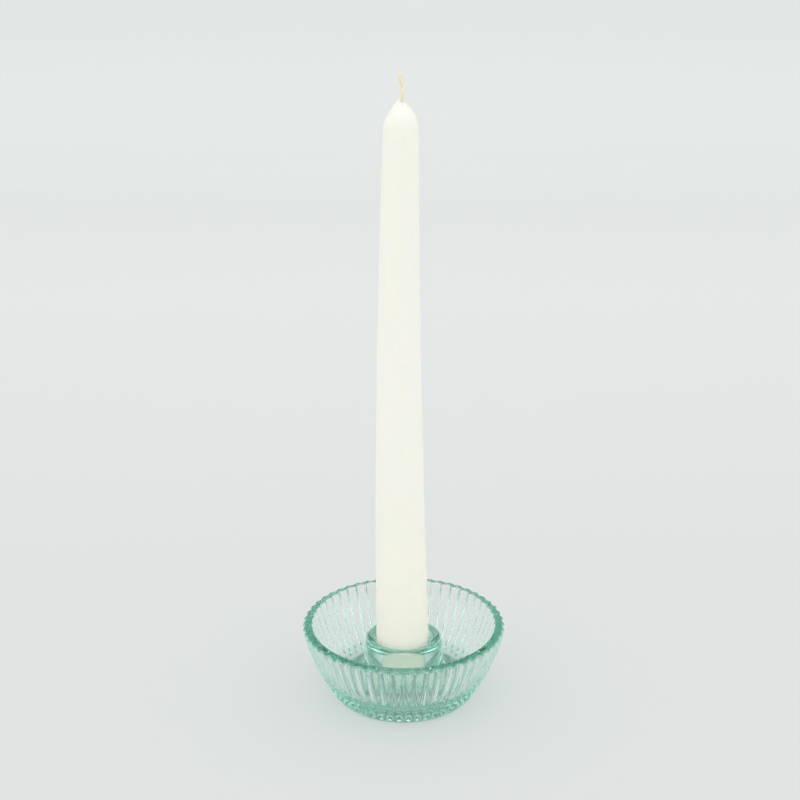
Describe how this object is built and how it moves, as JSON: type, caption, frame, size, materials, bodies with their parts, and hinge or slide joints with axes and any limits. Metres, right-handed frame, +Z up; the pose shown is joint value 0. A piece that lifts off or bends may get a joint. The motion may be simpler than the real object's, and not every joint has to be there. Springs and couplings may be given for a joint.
{
  "type": "candle holder",
  "caption": "Shallow fluted glass bowl with a raised central socket that holds one lift-out tapered candle with a looped wick.",
  "frame": {"origin": "on the table under the middle of the round foot", "axes": "+Z up along the candle, -Y towards the viewer of the picture, +X to the viewer's right"},
  "size_m": [0.091, 0.0909, 0.2705],
  "materials": {
    "tinted_glass": "clear pressed glass, pale green, deeper where it is thick",
    "wax": "satin ivory wax",
    "cotton": "twisted natural cotton"
  },
  "bodies": {
    "holder": {"glass_holder": "tinted_glass"},
    "candle": {"candle_wax": "wax", "wick": "cotton"}
  },
  "joints": [
    {"name": "candle_lift", "type": "slide", "parent": "holder", "child": "candle", "axis": [0, 0, 1], "range_m": [0, 0.03]}
  ]
}
